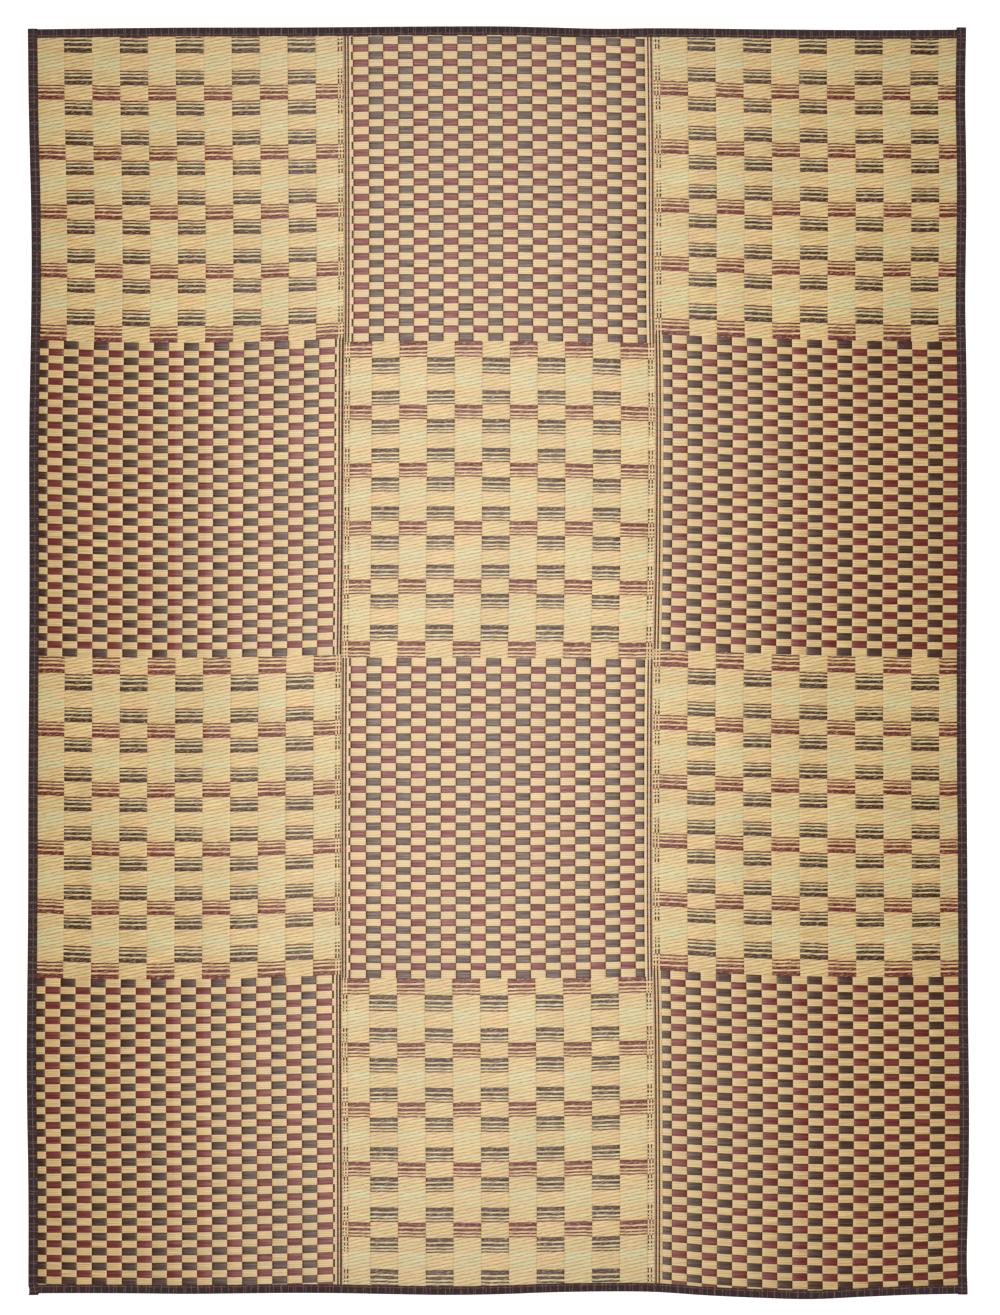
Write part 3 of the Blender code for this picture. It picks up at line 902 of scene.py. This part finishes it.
def makeTape(side, material):
    # A strip folded in a U: the outer skin goes along the lower leg, half round the fold and
    # back along the upper leg, and the inner skin follows one cloth thickness inside it.
    shape = tapeShape
    at, low, high = (part[:, None] for part in tapeRun(side))
    width = tapeWidthAt(side, at)
    legs = np.linspace(0, 1, shape["legSteps"] + 1)[None, :-1]
    turn = np.linspace(-np.pi / 2, np.pi / 2, shape["foldSteps"] + 1)[None, :]
    radius, middle = (high - low) / 2, (high + low) / 2
    legInset = width + (radius - width) * legs
    dip = np.exp(-((width - shape["sewingInset"] - legInset) / shape["puckerReach"]) ** 2)
    skins = []
    for inside in (0.0, fit["tapeThickness"]):
        foldInset = radius - (radius - inside) * np.cos(turn)
        foldZ = middle + (radius - inside) * np.sin(turn)
        lowZ = np.broadcast_to(low + inside, legInset.shape)
        highZ = high - inside - upperDip(at, side) * dip - shape["rawEdgeDrop"] * (legs == 0)
        inset = np.concatenate([legInset, foldInset, legInset[:, ::-1]], 1)
        z = np.concatenate([lowZ, foldZ, highZ[:, ::-1]], 1)
        skins.append(tapePoint(side, at, inset, z))
    stations, ring = skins[0].shape[:2]
    points = np.concatenate([skins[0].reshape(-1, 3), skins[1].reshape(-1, 3)])
    outer = np.arange(stations * ring).reshape(stations, ring)
    inner = outer + stations * ring

    # A side tape's ends are sewn shut, with the hollow closed one station inside. flip turns
    # the faces outwards on the two tapes whose grid runs the other way round.
    closed = tapes[side]["along"] == 1
    flip = -1 if side in ("left", "head") else 1
    last = stations - 1
    innerFirst, innerLast = (1, last - 1) if closed else (0, last)
    k = np.arange(innerFirst, innerLast)
    squares = np.concatenate([
        gridFaces(stations, ring).reshape(-1, 4)[:, ::flip],
        gridFaces(stations, ring, inner[0, 0])[k].reshape(-1, 4)[:, ::-flip],
        np.stack([outer[k, 0], inner[k, 0], inner[k + 1, 0], outer[k + 1, 0]], -1)[:, ::flip],
        np.stack([outer[k, -1], outer[k + 1, -1], inner[k + 1, -1], inner[k, -1]],
                 -1)[:, ::flip],
    ])
    faces = squares.tolist()
    for row, near, turned in ((0, innerFirst, flip), (last, innerLast, -flip)):
        if closed:
            faces.append(outer[row].tolist()[::turned])
            faces.append(inner[near].tolist()[::-turned])
            mouth = [outer[row, 0], outer[near, 0], inner[near, 0]]
            mouth += [inner[near, -1], outer[near, -1], outer[row, -1]]
            faces.append([int(n) for n in mouth][::-turned])
        else:
            faces.append((outer[row].tolist() + inner[row].tolist()[::-1])[::turned])
    used = np.unique(np.concatenate([np.array(face) for face in faces]))
    renumber = np.full(len(points), -1)
    renumber[used] = np.arange(len(used))
    faces = [renumber[np.array(face)].tolist() for face in faces]
    piece = addPiece("tape_" + side, points[used], faces, material)

    # "cloth" map: metres along the tape, and round its section
    across = np.linalg.norm(np.diff(skins[0][0], axis=0), axis=1)
    across = np.concatenate([[0], np.cumsum(across)])
    uv = np.stack(np.broadcast_arrays(at, across), -1).reshape(-1, 2)
    addUvMap(piece, "cloth", np.concatenate([uv, uv])[used][cornerVertices(piece)])
    return piece


def makeStitches(name, starts, ends, radius, sink, material):
    # Many short threads: each is a five-sided tube on an arc from start to end that rises by
    # its own thickness in the middle and dives into the cloth at both ends, where it is thinner
    rings, sides, thinnest = 5, 5, 0.55
    t = np.linspace(0, 1, rings)
    bulge = np.sin(np.pi * t)
    centre = starts[:, None] + (ends - starts)[:, None] * t[:, None]
    centre[..., 2] += bulge * (radius + sink) - sink
    forward = (ends - starts) / np.linalg.norm(ends - starts, axis=1, keepdims=True)
    aside = np.cross(forward, [0, 0, 1.0])
    aside /= np.linalg.norm(aside, axis=1, keepdims=True)
    up = np.cross(aside, forward)
    turn = (np.arange(sides) * 2 * np.pi / sides)[:, None]
    circle = aside[:, None] * np.cos(turn) + up[:, None] * np.sin(turn)
    thickness = radius * (thinnest + (1 - thinnest) * bulge)
    points = centre[:, :, None] + thickness[:, None, None] * circle[:, None]
    number = np.arange(points.size // 3).reshape(points.shape[:3])
    here, there = number, np.roll(number, -1, axis=2)
    squares = np.stack([here[:, :-1], here[:, 1:], there[:, 1:], there[:, :-1]], -1)
    caps = np.concatenate([number[:, 0], number[:, -1, ::-1]])
    faces = squares.reshape(-1, 4).tolist() + caps.tolist()
    return addPiece(name, points.reshape(-1, 3), faces, material)


def makeTapeSewing(side, material):
    # A running stitch beside the tape's inner edge: one stitch starts at each pitch
    at, low, high = tapeRun(side)
    shape = tapeShape
    first, last = at[0] + shape["sewingStart"], at[-1] - shape["sewingStart"]
    begin = np.arange(first, last - shape["stitchPitch"], shape["stitchPitch"])
    tops = []
    for place in (begin, begin + shape["stitch"]):
        inset = tapeWidthAt(side, place) - shape["sewingInset"]
        z = np.interp(place, at, high) - upperDip(place, side)
        tops.append(tapePoint(side, place, inset, z))
    return makeStitches("sewing_" + side, *tops, shape["threadRadius"], shape["sink"], material)


seamSewing = {
    "pitch": 4.6 * mm,
    "reach": 2.2 * mm,  # to each side of the seam
    "besideSeam": 0.15 * mm,
    "fromEnds": 24 * mm,
    "below": 0.25 * mm,  # the open rush's top
    "threadRadius": 0.3 * mm,
    "sink": 0.25 * mm,
}


def makeSeamSewing(side, material):
    # A flat zigzag that holds two widths edge to edge: its corners lie by turns to the left
    # and to the right of the seam
    shape = seamSewing
    seamX = -0.43  # the left seam, whose two ends do for both
    start = smoothLine(edges["foot"], seamX) + shape["fromEnds"]
    end = smoothLine(edges["head"], seamX) - shape["fromEnds"]
    y = np.arange(start, end, shape["pitch"])
    x = smoothLine(edges[side], y)
    x = x + shape["besideSeam"] * (1 if side == "seamRight" else -1)
    turn = np.where(np.arange(len(y)) % 2 == 0, -shape["reach"], shape["reach"])
    z = np.full_like(y, fit["fieldTop"] - shape["below"])
    corners = np.stack([x + turn, y, z], -1)
    return makeStitches("sewing_" + side, corners[:-1], corners[1:], shape["threadRadius"],
                        shape["sink"], material)


# Putting the rug together

rush = makeRushMaterial()
tapeCloth = makeTapeMaterial()
tapeThread = makeThreadMaterial("dark")
seamThread = makeThreadMaterial("straw")
print("rush rug: materials made")

for side in clothWidths:
    piece = makeWidth(side, rush)
    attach(piece, "root")
    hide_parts("width_" + side)
print("rush rug: woven widths made")

for side, sewnTo in (("seamLeft", "left"), ("seamRight", "right")):
    piece = makeSeamSewing(side, seamThread)
    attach(piece, "root")

for side, tape in tapes.items():
    piece = makeTape(side, tapeCloth)
    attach(piece, "root")
    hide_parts("binding_" + side)
    sewing = makeTapeSewing(side, tapeThread)
    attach(sewing, "root")
print("rush rug: tapes and sewing made")


# Floor, light and camera

studio = {
    "cameraHeight": 9.2,
    "viewHeight": 3.6565,  # metres of floor from the frame's top to its bottom
    "viewLevel": 4 * mm,  # height at which they are measured
    "sensor": 36,
    "aim": (0.0058, 0.0146),
    "strip": (2.35, 6.3, 7.0, 347.0),  # overhead softbox: width, length, height, watts
    "stripPlace": (-0.19, 0.26),
    "stripColour": (1.0, 0.97, 0.94),
    "fill": (2.76, 3.72, 0.35, 11.9),  # low panel that evens the light out, seen in no gloss
    "softColour": (1.0, 0.99, 0.975),
    "ambient": 0.2,
    "floorReach": 30.0,
    "floorLevel": -0.4 * mm,  # just below the rug, so that the two never flicker
    "floorGlow": 0.5,
}

reach, level = studio["floorReach"], studio["floorLevel"]
floorMesh = bpy.data.meshes.new("studio_floor")
floorMesh.from_pydata(
    [(x, y, level) for x, y in ((-reach, -reach), (reach, -reach), (reach, reach), (-reach, reach))],
    [], [(0, 1, 2, 3)])
floor = bpy.data.objects.new("studio_floor", floorMesh)
bpy.context.scene.collection.objects.link(floor)
floorPaint, floorShader = startMaterial("matt_white_floor")[:2]
feed(floorShader, {
    "Base Color": (0.92, 0.92, 0.92, 1),
    "Roughness": 0.9,
    "Specular IOR Level": 0.1,
    "Emission Color": (1, 1, 1, 1),
    "Emission Strength": studio["floorGlow"],
})
floorMesh.materials.append(floorPaint)


def hangPanel(name, panel, place, colour):
    # A flat lamp that faces straight down and that the camera looks through
    lamp = bpy.data.lights.new(name, "AREA")
    lamp.shape = "RECTANGLE"
    lamp.size, lamp.size_y, height, lamp.energy = panel
    lamp.color = colour
    hung = bpy.data.objects.new(name, lamp)
    hung.location = (*place, height)
    hung.visible_camera = False
    bpy.context.scene.collection.objects.link(hung)
    return hung


hangPanel("overhead_strip_softbox", studio["strip"], studio["stripPlace"], studio["stripColour"])
fill = hangPanel("low_fill_panel", studio["fill"], (0, 0), studio["softColour"])
fill.visible_glossy = False

world = bpy.data.worlds.new("studio_air")
world.use_nodes = True
feed(world.node_tree.nodes["Background"], {
    "Color": (*studio["softColour"], 1), "Strength": studio["ambient"]})
bpy.context.scene.world = world

cameraData = bpy.data.cameras.new("straight_down")
cameraData.sensor_width = studio["sensor"]
distance = studio["cameraHeight"] - studio["viewLevel"]
cameraData.lens = studio["sensor"] * distance / studio["viewHeight"]
camera = bpy.data.objects.new("straight_down", cameraData)
camera.location = (*studio["aim"], studio["cameraHeight"])
bpy.context.scene.collection.objects.link(camera)
bpy.context.scene.camera = camera
bpy.context.scene.view_settings.view_transform = "Standard"
print("rush rug: floor, light and camera set")
